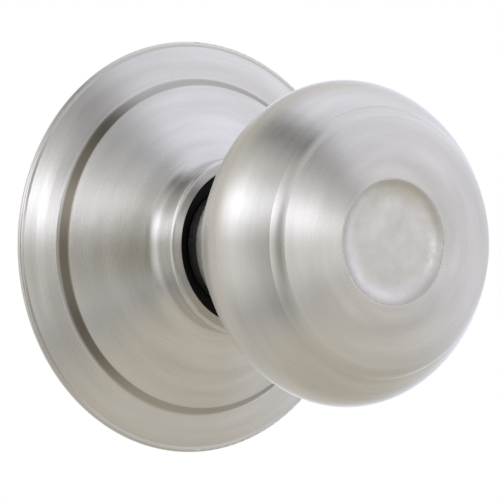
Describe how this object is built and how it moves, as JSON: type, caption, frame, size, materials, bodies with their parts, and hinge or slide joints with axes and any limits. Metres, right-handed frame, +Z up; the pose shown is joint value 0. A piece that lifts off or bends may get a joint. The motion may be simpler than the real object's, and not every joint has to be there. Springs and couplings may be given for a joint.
{
  "type": "passage door knob",
  "caption": "Round ball knob with a dished face on a stepped round rose, turning against a return spring, with square spindle and threaded posts.",
  "frame": {"origin": "centre of the rose's back face, on the door surface", "axes": "+Y into the door along the knob's axis, knob towards -Y, +Z up"},
  "size_m": [0.0666, 0.0908, 0.0666],
  "materials": {
    "satin_nickel": "satin nickel plate, brushed round the axis",
    "black_nylon": "moulded black nylon",
    "zinc_plated_steel": "zinc plated pressed steel",
    "cast_zinc": "grey die-cast zinc alloy, as cast",
    "bright_steel": "drawn and turned steel, light oil",
    "spring_steel": "dark tempered spring steel"
  },
  "bodies": {
    "trim": {"rose": "satin_nickel", "mounting_plate": "zinc_plated_steel", "threaded_posts": "zinc_plated_steel", "front_bush": "black_nylon", "rear_bush": "black_nylon", "spring_cage": "cast_zinc", "cage_cover": "zinc_plated_steel", "cage_screws": "zinc_plated_steel", "stop_pins": "bright_steel", "return_spring": "spring_steel"},
    "knob": {"knob_body": "satin_nickel", "knob_face": "satin_nickel", "knob_core": "cast_zinc", "core_washer": "bright_steel", "shank": "bright_steel", "spindle_socket": "cast_zinc", "spindle": "bright_steel", "spindle_pin": "bright_steel", "drive_plate": "bright_steel", "front_washer": "black_nylon", "thrust_washer": "bright_steel", "spring_washer": "spring_steel", "retaining_ring": "spring_steel"}
  },
  "joints": [
    {"name": "knob_turn", "type": "hinge", "parent": "trim", "child": "knob", "pos_m": [0, 0, 0], "axis": [0, -1, 0], "range_deg": [-60, 60], "stiffness_Nm_per_rad": 0.25, "deforming": ["return_spring"]}
  ]
}
